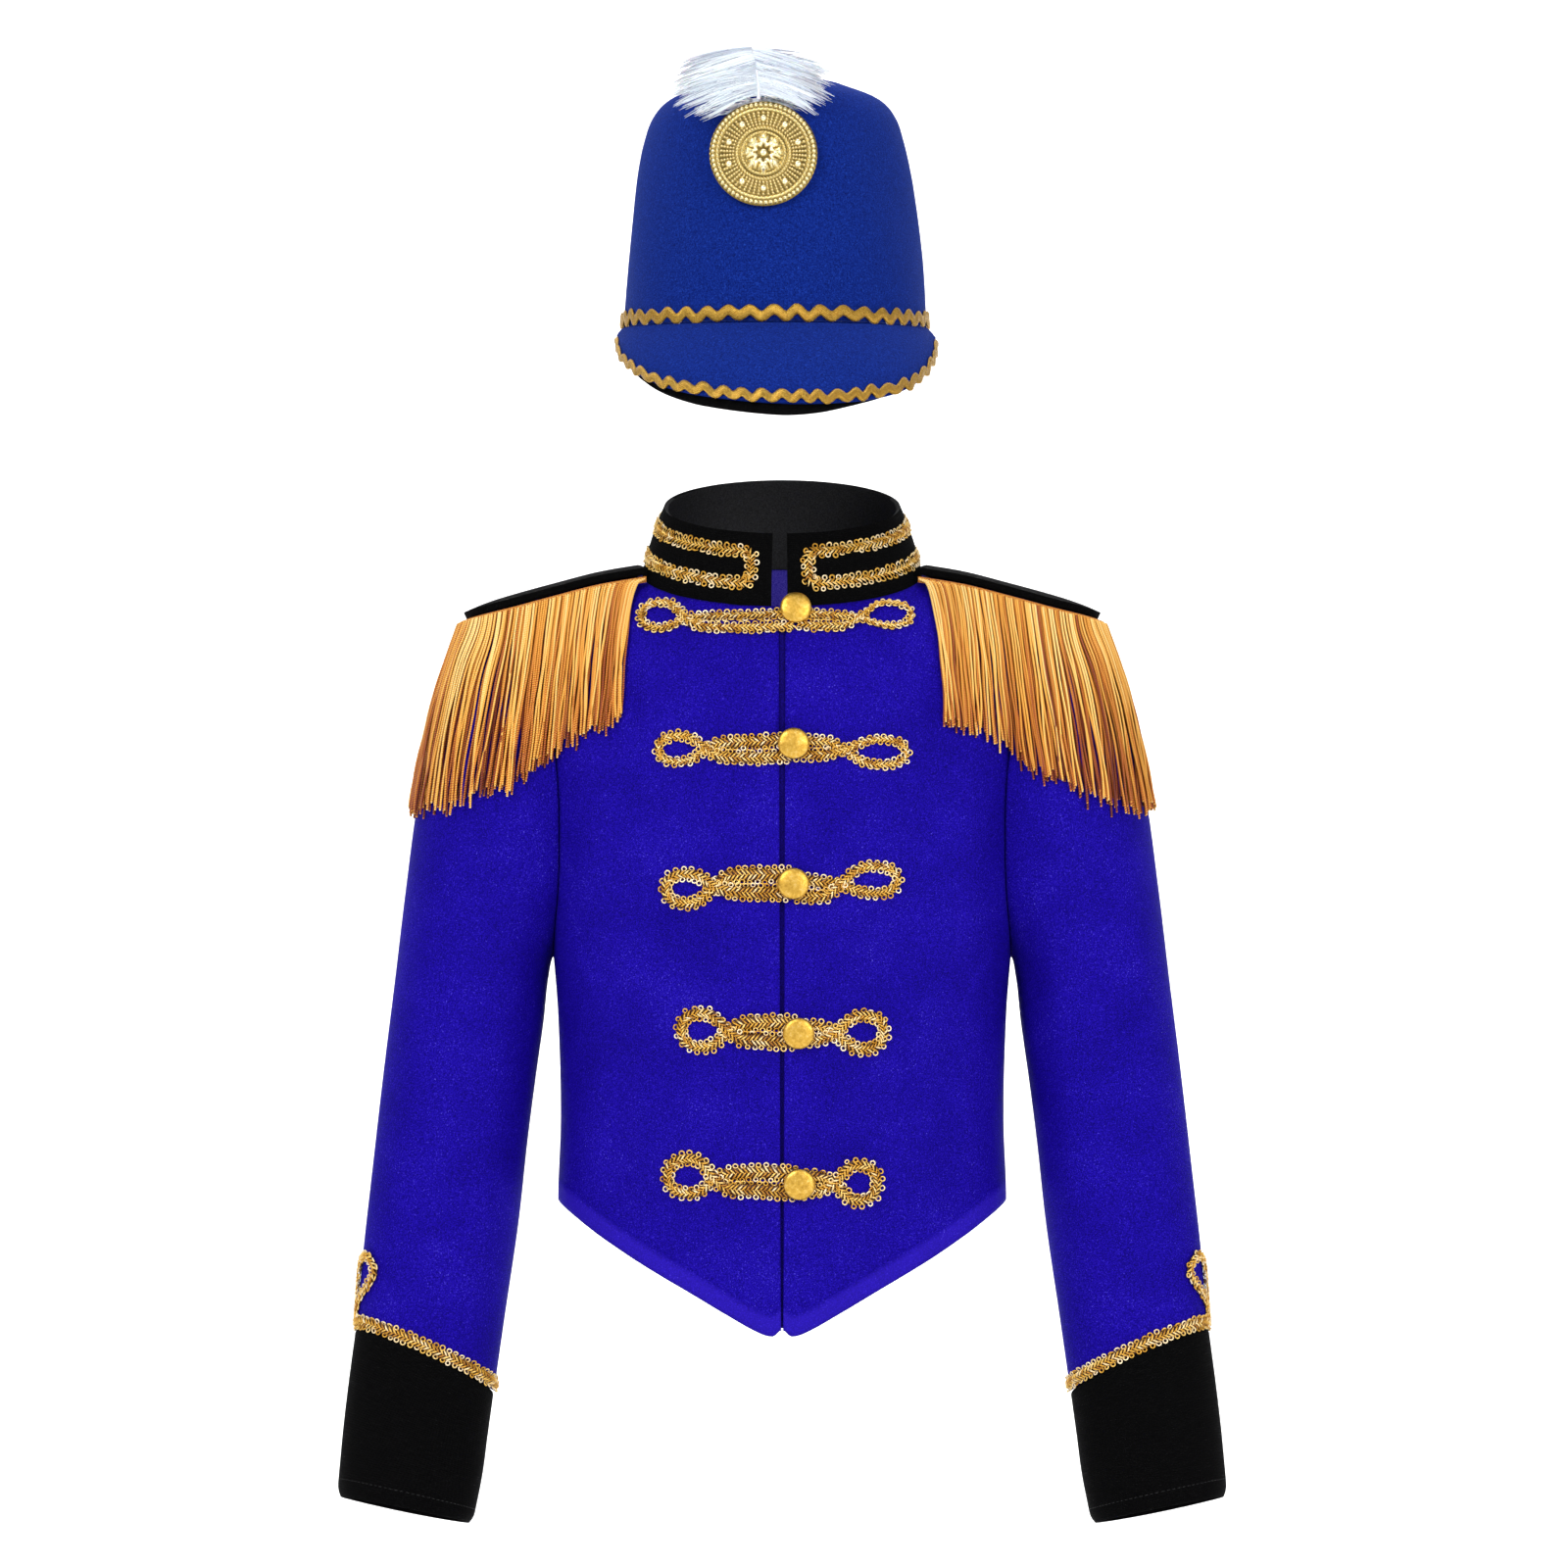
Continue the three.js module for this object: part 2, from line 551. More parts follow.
// Grid of a quarter of the body, for positive x, from the hem up. side is -1 in front, 1 behind.
function quarterGrid(side, mirror) {
  const cols = NECK_STEPS + SHOULDER_STEPS;
  const edgeOf = (z) => (side < 0 ? read(OPENING, "z", "half", z) : 0);
  const neck = neckSeam(side < 0 ? 0.0001 : Math.PI - 0.0001);
  const hemZ = (x) => (side < 0 ? read(HEM, "x", "z", x) : SIDE_HEM_Z);
  const top = [];
  const bottom = [];
  for (let c = 0; c <= cols; c += 1) {
    if (c <= NECK_STEPS) {
      const turn = ((Math.PI / 2) * c) / NECK_STEPS;
      const seam = neckSeam(side < 0 ? turn : Math.PI - turn);
      top.push({ x: Math.max(edgeOf(seam.z), seam.x), z: c === 0 ? neck.z : seam.z });
    } else {
      const x = lerp(NECK_HALF, SHOULDER_X, (c - NECK_STEPS) / SHOULDER_STEPS);
      top.push({ x, z: read(SHOULDER, "x", "z", x) });
    }
    const turn = (Math.PI / 2) * Math.pow(c / cols, HEM_SPREAD);
    const x = lerp(edgeOf(hemZ(0)), 123.4, Math.pow(Math.sin(turn), 2 / BODY_POWER));
    bottom.push({ x, z: hemZ(x) });
  }
  const heights = armholeHeights().reverse();
  const sideRows = [];
  sideRows.push({ z: SIDE_HEM_Z, band: 1 });
  sideRows.push({ z: SIDE_HEM_Z + HEM_BAND, band: 1 });
  sideRows.push({ z: SIDE_HEM_Z + HEM_BAND + 1.2, band: 0 });
  for (let i = 2; i < SIDE_STEPS; i += 1) {
    sideRows.push({ z: lerp(SIDE_HEM_Z, UNDERARM_Z, i / SIDE_STEPS), band: 0 });
  }
  heights.forEach((z) => sideRows.push({ z, band: 0 }));
  const sum = sideRows.length - 1;
  const grid = sideRows.map((row, r) => {
    const edgeX = r < sideRows.length - heights.length
      ? read(BODY, "z", "half", row.z) : read(ARMHOLE, "z", "x", row.z);
    const share = (row.z - SIDE_HEM_Z) / (SHOULDER_Z - SIDE_HEM_Z);
    const line = [];
    for (let c = 0; c <= cols; c += 1) {
      const u = c / cols;
      const nearHem = row.z - SIDE_HEM_Z < HEM_BAND + 2;
      const flatB = lerp(bottom[0].x, bottom[cols].x, u);
      const flatT = lerp(top[0].x, top[cols].x, u);
      let x = lerp(edgeOf(row.z), edgeX, u) + (1 - share) * (bottom[c].x - flatB) + share * (top[c].x - flatT);
      const leftZ = lerp(bottom[0].z, top[0].z, share);
      const dropB = bottom[c].z - lerp(bottom[0].z, bottom[cols].z, u);
      const dropT = top[c].z - lerp(top[0].z, top[cols].z, u);
      let z = lerp(leftZ, row.z, u) + (1 - share) * dropB + share * dropT;
      if (nearHem) {
        z = bottom[c].z + (row.z - SIDE_HEM_Z) * 1.12;
        if (c === cols) {
          z = row.z;
        }
      }
      if (r === sum) {
        x = top[c].x;
        z = top[c].z;
      }
      x = Math.min(x, read(BODY, "z", "half", z));
      if (c === cols) {
        x = edgeX;
      }
      if (c === 0) {
        x = edgeOf(z);
      }
      const raise = row.band && side < 0 ? HEM_RAISE * Math.min(1, bodyDepth(x, z, side) / 30) : 0;
      const p = bodyPoint(x * mirror, z, side, raise);
      if (Math.abs(p.y) < SEAM / 2) {
        p.y = (side * SEAM) / 2;
      }
      line.push(p);
    }
    return line;
  });
  return { grid, cols, armFrom: sideRows.length - heights.length };
}

// Directions at the seams, so that the neighbouring pieces' walls run beside each other.
function seamFix(cols, armFrom, rows, mirrorCols) {
  return (n, r, c) => {
    const outer = mirrorCols ? c === 0 || c === cols : c === cols;
    const fromMiddle = mirrorCols ? Math.abs(c - cols / 2) : c;
    if (outer && r <= armFrom) {
      n.y = 0;
      n.z = 0;
    }
    if (r === rows - 1 && fromMiddle >= NECK_STEPS) {
      n.y = 0;
    }
    if (!mirrorCols && c === 0) {
      n.x = 0;
    }
  };
}

function makeFront(name, mirror) {
  const { grid, cols, armFrom } = quarterGrid(-1, mirror);
  return clothWall(name, grid, {
    thick: CLOTH,
    colour: COLOURS.blue,
    inward: mirror,
    fix: seamFix(cols, armFrom, grid.length, false),
  });
}

function makeBack() {
  const right = quarterGrid(1, 1);
  const left = quarterGrid(1, -1);
  const grid = right.grid.map((row, r) => {
    const other = left.grid[r].slice(1).reverse();
    return [...other, ...row];
  });
  const cols = 2 * right.cols;
  return clothWall("back", grid, {
    thick: CLOTH,
    colour: COLOURS.blue,
    inward: -1,
    fix: seamFix(cols, right.armFrom, grid.length, true),
  });
}

// The strip sewn behind the left edge, which closes the opening under the front edges.
function makePlacket() {
  const sides = [-1, 1].map((mirror) => quarterGrid(-1, mirror).grid.slice(PLACKET_FIRST_ROW));
  const grid = sides[0].map((line, r) => {
    const [left, right] = [line, sides[1][r]].map((points) => (
      points[0].clone().lerp(points[1], PLACKET_HALF / Math.abs(points[1].x - points[0].x))));
    return [left, line[0], sides[1][r][0], right];
  });
  return clothWall("front_placket", grid, {
    thick: PLACKET_THICK,
    colour: COLOURS.blue,
    rise: -(CLOTH + PLACKET_CLEAR),
  });
}

// One ring of a sleeve, from the shoulder round by the front; rings may lie between two rows.
function sleeveRing(table, at, turn) {
  const rows = table.map((row, i) => ({ ...row, i }));
  const get = (column) => read(rows, "i", column, at);
  const side = Math.sin(turn);
  const along = Math.cos(turn);
  const power = 2 / SLEEVE_POWER;
  const c = Math.sign(along) * Math.pow(Math.abs(along), power);
  const s = Math.sign(side) * Math.pow(Math.abs(side), power);
  const outX = get("outX");
  const inX = get("inX");
  const outZ = get("outZ");
  const inZ = get("inZ");
  let out = 0;
  if (table === SLEEVE) {
    for (const f of SLEEVE_FOLDS) {
      const u = (turn - f.turn) / f.wide;
      const v = (at - f.ring) / f.long;
      out += f.out * Math.exp(-u * u - v * v);
    }
  }
  const x = (outX + inX) / 2 + (c * (outX - inX)) / 2 - get("bow") * s * s;
  const z = (outZ + inZ) / 2 + (c * (outZ - inZ)) / 2 - get("tip") * s;
  const y = get("mid") + s * (get("deep") + out);
  return new THREE.Vector3(x, y, z);
}

// Turn 0 is the shoulder, a quarter turn the back, three quarters the front.
function armholeRing() {
  const heights = armholeHeights();
  const ring = [];
  for (let i = 0; i < SLEEVE_COLS; i += 1) {
    const behind = i <= ARM_STEPS;
    const z = heights[behind ? i : SLEEVE_COLS - i];
    ring.push(armholePoint(z, behind ? 1 : -1));
  }
  return ring;
}

function sleeveGrid() {
  const seam = armholeRing();
  const grid = [];
  for (let r = 1; r < SLEEVE.length; r += 1) {
    const line = [];
    const blend = Math.max(0, 1 - r / 4);
    for (let c = 0; c < SLEEVE_COLS; c += 1) {
      const turn = (2 * Math.PI * c) / SLEEVE_COLS;
      const p = sleeveRing(SLEEVE, r, turn);
      const base = sleeveRing(SLEEVE, 0, turn);
      p.addScaledVector(seam[c].clone().sub(base), blend * blend);
      line.push(p);
    }
    grid.push(line);
  }
  const first = seam.map((p, c) => {
    const way = grid[0][c].clone().sub(p).normalize();
    return p.clone().addScaledVector(way, SEAM + 0.1);
  });
  return [first, ...grid];
}

function mirrored(grid, mirror) {
  return grid.map((row) => row.map((p) => new THREE.Vector3(p.x * mirror, p.y, p.z)));
}

function makeSleeve(name, mirror) {
  return clothWall(name, mirrored(sleeveGrid(), mirror), {
    thick: CLOTH,
    colour: COLOURS.blue,
    closed: true,
    inward: -mirror,
  });
}

function makeCuff(name, mirror) {
  const grid = CUFF.map((row, r) => {
    const line = [];
    for (let c = 0; c < SLEEVE_COLS; c += 1) {
      line.push(sleeveRing(CUFF, r, (2 * Math.PI * c) / SLEEVE_COLS));
    }
    return line;
  });
  return clothWall(name, mirrored(grid, mirror), {
    thick: CLOTH + 0.2,
    colour: COLOURS.velvet,
    closed: true,
    inward: -mirror,
  });
}

// The braid round the sleeve where the cuff begins.
function makeCuffBraid(name, mirror) {
  const last = SLEEVE.length - 1;
  const grid = [last - 0.27, last - 0.02].map((ring) => {
    const line = [];
    for (let c = 0; c < SLEEVE_COLS; c += 1) {
      const turn = (2 * Math.PI * c) / SLEEVE_COLS;
      const p = sleeveRing(SLEEVE, ring, turn);
      line.push(p);
    }
    return line;
  });
  return clothWall(name, mirrored(grid, mirror), {
    thick: BRAID,
    colour: COLOURS.gold,
    rough: 0.5,
    metal: 0.4,
    closed: true,
    inward: -mirror,
    rise: BRAID + LIFT,
  });
}

function gridFaces(grid, closed) {
  const faces = [];
  const cols = grid[0].length;
  for (let r = 0; r < grid.length - 1; r += 1) {
    for (let c = 0; c < (closed ? cols : cols - 1); c += 1) {
      const d = (c + 1) % cols;
      faces.push([grid[r][c], grid[r][d], grid[r + 1][d]], [grid[r][c], grid[r + 1][d], grid[r + 1][c]]);
    }
  }
  return faces;
}

// The outer faces of the cloth, which trims and fringe are laid on.
const SLEEVE_FACES = gridFaces(sleeveGrid(), true);
const FRONT_FACES = [1, -1].flatMap((mirror) => gridFaces(quarterGrid(-1, mirror).grid, false));
const RESTING_FACES = [
  ...SLEEVE_FACES,
  ...FRONT_FACES,
  ...gridFaces(quarterGrid(1, 1).grid, false),
];

// How far from a point inside, along a direction, the outermost of these faces lies.
function faceReach(faces, origin, way) {
  const ray = new THREE.Ray(origin, way);
  const hit = new THREE.Vector3();
  let reach = 0;
  for (const [a, b, c] of faces) {
    if (ray.intersectTriangle(a, b, c, false, hit)) {
      reach = Math.max(reach, hit.distanceTo(origin));
    }
  }
  return reach;
}

// The place on the fronts' outer face seen at x, z.
function onFront(x, z) {
  const reach = faceReach(FRONT_FACES, new THREE.Vector3(x, 0, z), new THREE.Vector3(0, -1, 0));
  return new THREE.Vector3(x, -Math.max(reach, bodyDepth(x, z, -1) - 0.6), z);
}

// The loop of braid that stands on the outer side of the sleeve over the cuff and leans forward.
function makeCuffLoop(name, mirror) {
  const stations = CUFF_LOOP.map((row) => ({
    along: row.ring,
    middle: row.turn,
    high: row.half,
    eyeMiddle: row.turn,
    eye: row.eye,
    open: row.open,
  }));
  const place = (ring, turn) => {
    const p = sleeveRing(SLEEVE, ring, turn);
    const axis = sleeveRing(SLEEVE, ring, turn + Math.PI).add(p).multiplyScalar(0.5);
    axis.z = p.z;
    const way = p.clone().sub(axis).normalize();
    const reach = faceReach(SLEEVE_FACES, axis, way);
    const hit = axis.addScaledVector(way, reach);
    return new THREE.Vector3(hit.x * mirror, hit.y, hit.z);
  };
  return eyeStrip(name, stations, place, {
    thick: BRAID,
    colour: COLOURS.gold,
    rough: 0.5,
    metal: 0.4,
    rise: BRAID + LIFT + 0.6,
    inward: -mirror,
  });
}

// A point of the collar's outer face: turn 0 is the front, up runs from the neck seam to the top.
function collarPoint(turn, up, out = 0) {
  const seam = neckSeam(turn);
  const front = Math.cos(turn) > 0;
  const low = bodyPoint(seam.x, seam.z, front ? -1 : 1);
  const deep = front ? COLLAR_TOP_FRONT : COLLAR_TOP_BACK;
  const high = new THREE.Vector3(COLLAR_TOP_HALF * Math.sin(turn), -deep * Math.cos(turn),
    COLLAR_TOP_Z - COLLAR_TILT * Math.cos(turn));
  const p = low.lerp(high, up);
  const way = new THREE.Vector3(Math.sin(turn) / COLLAR_TOP_HALF, -Math.cos(turn) / deep, 0).normalize();
  p.z += LIFT + 0.1;
  return p.addScaledVector(way, out + 1.2 * Math.sin(Math.PI * up));
}

const COLLAR_FROM = Math.asin(COLLAR_RIGHT_EDGE / NECK_HALF);
const COLLAR_TO = 2 * Math.PI + Math.asin(COLLAR_LEFT_EDGE / NECK_HALF);

function collarTurns() {
  const turns = [COLLAR_FROM];
  const step = Math.PI / 2 / NECK_STEPS;
  for (let i = 1; i < 4 * NECK_STEPS; i += 1) {
    turns.push(step * i);
  }
  turns.push(COLLAR_TO);
  return turns;
}

function makeCollar() {
  const grid = [0, 0.33, 0.67, 1].map((up) => collarTurns().map((turn) => collarPoint(turn, up)));
  return clothWall("collar", grid, { thick: COLLAR_THICK, colour: COLOURS.velvet, rough: 0.95 });
}

// One band of braid that runs up beside the opening and round the collar in two rows.
function makeCollarBraid() {
  const inset = 0.2;
  const wide = 0.16;
  const turns = collarTurns().slice(1, -1);
  turns[0] = COLLAR_FROM + inset;
  turns.unshift(turns[0] - wide * 0.75);
  turns[turns.length - 1] = COLLAR_TO - inset;
  turns.push(turns[turns.length - 1] + wide * 0.75);
  const ups = [0.185, 0.42, 0.62, 0.87];
  const last = turns.length - 2;
  const grid = ups.map((up) => turns.map((turn) => collarPoint(turn, up)));
  return clothWall("collar_braid", grid, {
    thick: BRAID,
    colour: COLOURS.gold,
    rough: 0.5,
    metal: 0.4,
    rise: BRAID + LIFT + 0.2,
    fill: (r, c) => r !== 1 || c === 0 || c === last,
  });
}

// Half of a corded closure: a double band by the button that narrows and opens into a loop.
function makeFrog(f) {
  const way = Math.sign(f.end - f.neck);
  const start = f.buttonX + way * 0.35;
  const stations = [];
  const bandSteps = Math.max(2, Math.round(Math.abs(f.neck - start) / 11));
  for (let i = 0; i < bandSteps; i += 1) {
    const t = i / bandSteps;
    const middle = lerp(Math.min(f.buttonZ, f.bandZ + 1), f.bandZ, Math.min(1, t * 2.2));
    stations.push({ along: lerp(start, f.neck, t), middle, high: f.bandHigh, eyeMiddle: middle,
      eye: f.bandHigh * 0.35, open: false });
  }
  const middleOf = (x) => lerp(f.bandZ, f.midZ, Math.min(1, 0.5 + Math.abs(x - f.neck) / 16));
  const add = (x, high, eye, open) => {
    stations.push({ along: x, middle: middleOf(x), high, eyeMiddle: f.holeZ, eye, open });
  };
  add(f.neck, f.bandHigh * NECK_SQUEEZE, 1.4, false);
  add(f.holeIn, lerp(f.bandHigh * NECK_SQUEEZE, f.high, 0.62), 0.7, true);
  add(lerp(f.holeIn, f.holeOut, 0.4), f.high * 0.97, f.holeHigh * 0.8, true);
  add(lerp(f.holeIn, f.holeOut, 0.72), f.high, f.holeHigh, true);
  add(f.holeOut, f.high * 0.84, f.holeHigh * 0.5, false);
  add(lerp(f.holeOut, f.end, 0.62), f.high * 0.62, f.holeHigh * 0.5, false);
  add(f.end, f.high * 0.34, f.holeHigh * 0.3, false);
  return eyeStrip(f.name, stations, onFront, {
    thick: FROG_THICK,
    colour: COLOURS.gold,
    rough: 0.5,
    metal: 0.4,
    rise: FROG_THICK + FROG_LIFT,
    inward: way,
  });
}

function makeButton(f, number) {
  const way = overBody(f.buttonX, f.buttonZ, -1, 1).sub(overBody(f.buttonX, f.buttonZ, -1, 0));
  const base = onFront(f.buttonX, f.buttonZ).addScaledVector(way, FROG_LIFT + FROG_THICK + BUTTON_SEAT);
  const points = BUTTON_PROFILE.map((p) => new THREE.Vector2(p.r, p.h));
  const profile = [new THREE.Vector2(0, 0), ...points, new THREE.Vector2(0, 4.3)];
  const geometry = new THREE.LatheGeometry(profile, BUTTON_SIDES);
  const material = new THREE.MeshStandardMaterial({ color: COLOURS.button, roughness: 0.35, metalness: 1 });
  const mesh = new THREE.Mesh(geometry, material);
  mesh.name = "button_" + number;
  mesh.position.copy(base);
  mesh.quaternion.setFromUnitVectors(new THREE.Vector3(0, 1, 0), way.normalize());
  return mesh;
}

// The board's outline from above: straight by the neck, round at the arm.
function boardEdge(share) {
  const straight = BOARD_END - BOARD_HALF - BOARD_CORNER;
  const arc = Math.PI * BOARD_HALF * 0.97;
  const total = 2 * straight + arc;
  const s = share * total;
  if (s <= straight) {
    return { x: BOARD_CORNER + s, y: -BOARD_HALF, nx: 0, ny: -1 };
  }
  if (s >= straight + arc) {
    return { x: BOARD_CORNER + (total - s), y: BOARD_HALF, nx: 0, ny: 1 };
  }
  const a = ((s - straight) / arc) * Math.PI - Math.PI / 2;
  return {
    x: BOARD_END - BOARD_HALF + BOARD_HALF * Math.cos(a),
    y: BOARD_HALF * Math.sin(a),
    nx: Math.cos(a),
    ny: Math.sin(a),
  };
}

function boardHeight(x, y) {
  return read(BOARD_LINE, "x", "z", x) + BOARD_CLEAR - BOARD_ARCH * Math.pow(y / BOARD_HALF, 2);
}

function makeBoard(name, mirror) {
  const cols = 6;
  const grid = [];
  for (let r = 0; r <= 6; r += 1) {
    const line = [];
    for (let c = 0; c <= cols; c += 1) {
      const y = BOARD_HALF * 0.995 * Math.sin((Math.PI / 2) * (r / 3 - 1));
      const tip = Math.sqrt(Math.max(0, BOARD_HALF * BOARD_HALF - y * y));
      const end = BOARD_END - BOARD_HALF + tip;
      const start = BOARD_START - (BOARD_START - BOARD_CORNER) * Math.pow(y / BOARD_HALF, 2);
      const x = lerp(start, end, c / cols);
      line.push(new THREE.Vector3(x * mirror, y, boardHeight(x, y) + BOARD_THICK));
    }
    grid.push(line);
  }
  return clothWall(name, grid, { thick: BOARD_THICK, colour: COLOURS.velvet, rough: 0.95, inward: mirror });
}

// The line of one strand from its root at the board's edge to its end.
function strandLine(share, number) {
  const edge = boardEdge(share);
  const way = new THREE.Vector3(edge.nx, edge.ny, 0).normalize();
  const rootZ = boardHeight(edge.x, edge.y) - 1;
  const outside = Math.max(0, edge.nx);
  const endX = read(FRINGE_ENDS, "root", "x", edge.x);
  const endZ = read(FRINGE_ENDS, "root", "z", edge.x) + 9 * (scatter(number) - 0.5);
  const drift = lerp(endX - edge.x, 0, outside) + 1.2 * (scatter(number + 70) - 0.5);
  const bend = lerp(FAN_BEND, 1, Math.min(1, (edge.x - BOARD_CORNER) / FAN_REACH));
  const own = BOARD_HALF + SEAM + 0.2 + STRIP_THICK / 2;
  const axisAt = (t) => {
    const i = t > STRAND_STEPS[2] ? 2 : Number(t > STRAND_STEPS[1]);
    const share = (t - STRAND_STEPS[i]) / (STRAND_STEPS[i + 1] - STRAND_STEPS[i]);
    const drifted = lerp(Math.pow(STRAND_STEPS[i], bend), Math.pow(STRAND_STEPS[i + 1], bend), share);
    return new THREE.Vector3(edge.x - edge.nx * BOARD_HALF + drift * drifted, 0, lerp(rootZ, endZ, t));
  };
  const clothAt = (t) => faceReach(RESTING_FACES, axisAt(t), way) + STRAND_CLEAR;
  const reaches = STRAND_STEPS.map((t, i) => (
    i < 1 ? own : Math.max(own + 1.5 * t, clothAt(t)) + (number % 2) * t));
  for (let pass = 0; pass < 4; pass += 1) {
    for (let i = 0; i < reaches.length - 1; i += 1) {
      for (const between of [0.2, 0.4, 0.6, 0.8]) {
        const t = lerp(STRAND_STEPS[i], STRAND_STEPS[i + 1], between);
        const short = clothAt(t) - lerp(reaches[i], reaches[i + 1], between);
        if (short > 0) {
          reaches[i + 1] += short * 0.8;
          reaches[i] += i === 0 ? 0 : short * 0.8;
        }
      }
    }
  }
  return STRAND_STEPS.map((t, i) => axisAt(t).addScaledVector(way, reaches[i]));
}

function manifoldOf(points, faces) {
  return new wasm.Manifold(new wasm.Mesh({
    numProp: 3,
    vertProperties: new Float32Array(points.flatMap((p) => p.toArray())),
    triVerts: new Uint32Array(faces.flat()),
  }));
}

// A three-sided strand along a line, thinner to its end.
function strand(line, radius, taper) {
  const points = [];
  const faces = [];
  line.forEach((p, i) => {
    const way = line[Math.min(line.length - 1, i + 1)].clone().sub(line[Math.max(0, i - 1)]).normalize();
    const side = new THREE.Vector3(0, 0, 1).cross(way);
    if (side.lengthSq() < 1e-4) {
      side.set(1, 0, 0);
    }
    side.normalize();
    const up = way.clone().cross(side);
    const r = radius * lerp(1, taper, i / (line.length - 1));
    for (let k = 0; k < 3; k += 1) {
      const a = (2 * Math.PI * k) / 3;
      points.push(p.clone().addScaledVector(side, r * Math.cos(a)).addScaledVector(up, r * Math.sin(a)));
    }
  });
  for (let i = 0; i < line.length - 1; i += 1) {
    for (let k = 0; k < 3; k += 1) {
      const n = (k + 1) % 3;
      const a = 3 * i + k;
      const b = 3 * i + n;
      faces.push([a, b, b + 3], [a, b + 3, a + 3]);
    }
  }
  const end = 3 * (line.length - 1);
  faces.push([0, 2, 1], [end, end + 1, end + 2]);
  return manifoldOf(points, faces);
}

function meshOfSolid(name, solid, colour, rough, metal) {
  const made = solid.getMesh();
  const geometry = new THREE.BufferGeometry();
  const count = made.vertProperties.length / made.numProp;
  const places = new Float32Array(count * 3);
  for (let i = 0; i < count; i += 1) {
    places.set(made.vertProperties.subarray(i * made.numProp, i * made.numProp + 3), i * 3);
  }
  geometry.setAttribute("position", new THREE.BufferAttribute(places, 3));
  geometry.setIndex([...made.triVerts]);
  geometry.computeVertexNormals();
  const material = new THREE.MeshStandardMaterial({ color: colour, roughness: rough, metalness: metal });
  const mesh = new THREE.Mesh(geometry, material);
  mesh.name = name;
  return mesh;
}

function solidOfMesh(mesh) {
  const places = mesh.geometry.getAttribute("position");
  const points = [];
  for (let i = 0; i < places.count; i += 1) {
    points.push(new THREE.Vector3().fromBufferAttribute(places, i));
  }
  const index = [...mesh.geometry.index.array];
  const faces = [];
  for (let i = 0; i < index.length; i += 3) {
    faces.push(index.slice(i, i + 3));
  }
  return manifoldOf(points, faces);
}

// The strip under the board's edge and the strands that hang from it.
function fringeSolid() {
  const grid = [];
  const steps = 20;
  for (const low of [1, 0]) {
    const line = [];
    for (let i = 0; i <= steps; i += 1) {
      const e = boardEdge(i / steps);
      const out = STRIP_THICK + SEAM + 0.2;
      line.push(new THREE.Vector3(e.x + e.nx * out, e.y + e.ny * out,
        boardHeight(e.x, e.y) - STRIP_TALL * low + 1));
    }
    grid.push(line);
  }
  let solid = solidOfMesh(clothWall("strip", grid, { thick: STRIP_THICK, colour: 0 }));
  for (let i = 0; i < FRINGE_STRANDS; i += 1) {
    const line = strandLine((i + 0.5) / FRINGE_STRANDS, i);
    solid = solid.add(strand(line, STRAND_RADIUS, 0.85));
  }
  return solid;
}

function makeFringes() {
  const right = fringeSolid();
  const left = right.mirror([1, 0, 0]);
  return [
    meshOfSolid("fringe_right", right, COLOURS.fringe, 0.6, 0),
    meshOfSolid("fringe_left", left, COLOURS.fringe, 0.6, 0),
  ];
}

// A point of the hat's crown: turn 0 is the front.
function crownPoint(turn, z, out = 0) {
  const half = read(HAT, "z", "half", z) + out;
  const deep = read(HAT, "z", "deep", z) + out;
  return new THREE.Vector3(HAT_X + half * Math.sin(turn), -deep * Math.cos(turn), z);
}

// The crown's lower edge, a little lower in front.
function hatLow(turn) {
  return HAT_BOTTOM - HAT_TILT * Math.cos(turn);
}

function makeCrown() {
  const points = [];
  const faces = [];
  const rings = HAT.length;
  for (const inner of [0, 1]) {
    for (const row of HAT) {
      for (let c = 0; c < HAT_COLS; c += 1) {
        const turn = (2 * Math.PI * c) / HAT_COLS;
        const cut = inner * FELT;
        const drop = row.z > 250 ? cut * 0.9 : 0;
        points.push(new THREE.Vector3(HAT_X + (row.half - cut) * Math.sin(turn),
          -(row.deep - cut) * Math.cos(turn), row.z === HAT_BOTTOM ? hatLow(turn) : row.z - drop));
      }
    }
    points.push(new THREE.Vector3(HAT_X, 0, HAT_TOP - inner * FELT));
  }
  const layer = rings * HAT_COLS + 1;
  for (const inner of [0, 1]) {
    for (let r = 0; r < rings; r += 1) {
      for (let c = 0; c < HAT_COLS; c += 1) {
        const d = (c + 1) % HAT_COLS;
        const a = inner * layer + r * HAT_COLS + c;
        const b = inner * layer + r * HAT_COLS + d;
        const top = inner * layer + layer - 1;
        const set = r === rings - 1 ? [[a, b, top]] : [[a, b, b + HAT_COLS], [a, b + HAT_COLS, a + HAT_COLS]];
        set.forEach(([p, q, s]) => faces.push(inner ? [p, s, q] : [p, q, s]));
        if (r === 0 && !inner) {
          faces.push([a, a + layer, b + layer], [a, b + layer, b]);
        }
      }
    }
  }
  return meshFrom("hat_crown", points, faces, COLOURS.felt, 0.9, 0);
}

